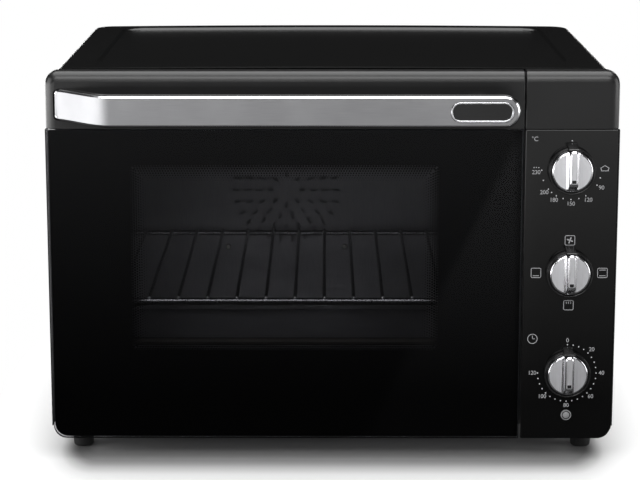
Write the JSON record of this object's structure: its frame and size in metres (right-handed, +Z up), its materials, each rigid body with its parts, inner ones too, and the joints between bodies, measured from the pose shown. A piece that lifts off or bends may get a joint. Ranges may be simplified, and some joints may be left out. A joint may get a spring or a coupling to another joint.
{
  "type": "toaster oven",
  "caption": "Countertop convection toaster oven with a drop-down glass door, full-width handle, wire rack and a column of rotary controls at its right.",
  "frame": {"origin": "on the table, under the middle of the oven's overall box", "axes": "+X to the right seen from the front, along the front; +Y from the door to the back; +Z up; the door faces -Y"},
  "size_m": [0.465, 0.4, 0.3261],
  "materials": {
    "black_sheet": "semi-gloss black paint on steel sheet",
    "aluminised_steel": "dull aluminised steel",
    "black_glass": "polished, printed black at the back round a clear window",
    "dark_plastic": "satin dark grey",
    "black_plastic": "semi-gloss black",
    "brushed_metal": "brushed, with polished bevels",
    "chrome_wire": "bright plated wire",
    "heater_sheath": "dull, heat-darkened",
    "ceramic": "unglazed, off-white",
    "zinc_steel": "zinc-plated",
    "phenolic": "moulded brown-black",
    "pilot_lens": "translucent pale grey",
    "rubber": "matt black"
  },
  "bodies": {
    "cabinet": {"base_plate": "aluminised_steel", "bottom_heater": "heater_sheath", "bottom_heater_bush_front": "ceramic", "bottom_heater_bush_rear": "ceramic", "cable_gland": "black_plastic", "cavity_liner": "aluminised_steel", "control_bracket": "zinc_steel", "control_cap": "dark_plastic", "control_panel": "black_glass", "crumb_tray": "aluminised_steel", "fan_chamber": "aluminised_steel", "fan_grille": "aluminised_steel", "fan_motor": "zinc_steel", "fascia_frame": "dark_plastic", "foot_front_left": "rubber", "foot_front_right": "rubber", "foot_rear_left": "rubber", "foot_rear_right": "rubber", "front_frame": "aluminised_steel", "hinge_bracket_left": "zinc_steel", "hinge_bracket_right": "zinc_steel", "hinge_pin_left": "zinc_steel", "hinge_pin_right": "zinc_steel", "motor_cover": "black_sheet", "outer_wrap": "black_sheet", "pilot_lamp": "ceramic", "pilot_lens": "pilot_lens", "rear_panel": "black_sheet", "selector_body": "phenolic", "side_guide_left": "aluminised_steel", "side_guide_right": "aluminised_steel", "terminal_block": "phenolic", "thermostat_body": "ceramic", "timer_bell": "zinc_steel", "timer_body": "zinc_steel", "top_heater": "heater_sheath", "top_heater_bush_front": "ceramic", "top_heater_bush_rear": "ceramic"},
    "door": {"door_glass": "black_glass", "door_side_trim": "dark_plastic", "door_top_rail": "dark_plastic", "door_inner_frame": "aluminised_steel", "hinge_arm_left": "zinc_steel", "hinge_arm_right": "zinc_steel", "handle_body": "black_plastic", "handle_plate": "brushed_metal", "badge_plate": "black_plastic"},
    "rack": {"rack": "chrome_wire"},
    "fan": {"fan_blade": "aluminised_steel", "fan_shaft": "zinc_steel"},
    "thermostat_knob": {"thermostat_knob_body": "black_plastic", "thermostat_knob_face": "brushed_metal", "thermostat_shaft": "zinc_steel"},
    "selector_knob": {"selector_knob_body": "black_plastic", "selector_knob_face": "brushed_metal", "selector_shaft": "zinc_steel"},
    "timer_knob": {"timer_knob_body": "black_plastic", "timer_knob_face": "brushed_metal", "timer_shaft": "zinc_steel"}
  },
  "joints": [
    {"name": "door_hinge", "type": "hinge", "parent": "cabinet", "child": "door", "pos_m": [0, -0.15, 0.0344], "axis": [1, 0, 0], "range_deg": [0, 85]},
    {"name": "rack_slide", "type": "slide", "parent": "cabinet", "child": "rack", "axis": [0, -1, 0], "range_m": [0, 0.1]},
    {"name": "thermostat_turn", "type": "hinge", "parent": "cabinet", "child": "thermostat_knob", "pos_m": [0.194, -0.162, 0.2441], "axis": [0, 1, 0], "range_deg": [0, 270]},
    {"name": "selector_turn", "type": "hinge", "parent": "cabinet", "child": "selector_knob", "pos_m": [0.194, -0.162, 0.1588], "axis": [0, 1, 0], "range_deg": [0, 270]},
    {"name": "timer_turn", "type": "hinge", "parent": "cabinet", "child": "timer_knob", "pos_m": [0.194, -0.162, 0.074], "axis": [0, 1, 0], "range_deg": [0, 270]},
    {"name": "fan_spin", "type": "hinge", "parent": "cabinet", "child": "fan", "pos_m": [-0.043, 0.162, 0.17], "axis": [0, 1, 0], "continuous": true}
  ],
  "couplings": [
    {"joint": "rack_slide", "follows": "door_hinge", "m_per_rad": 0.0614}
  ]
}
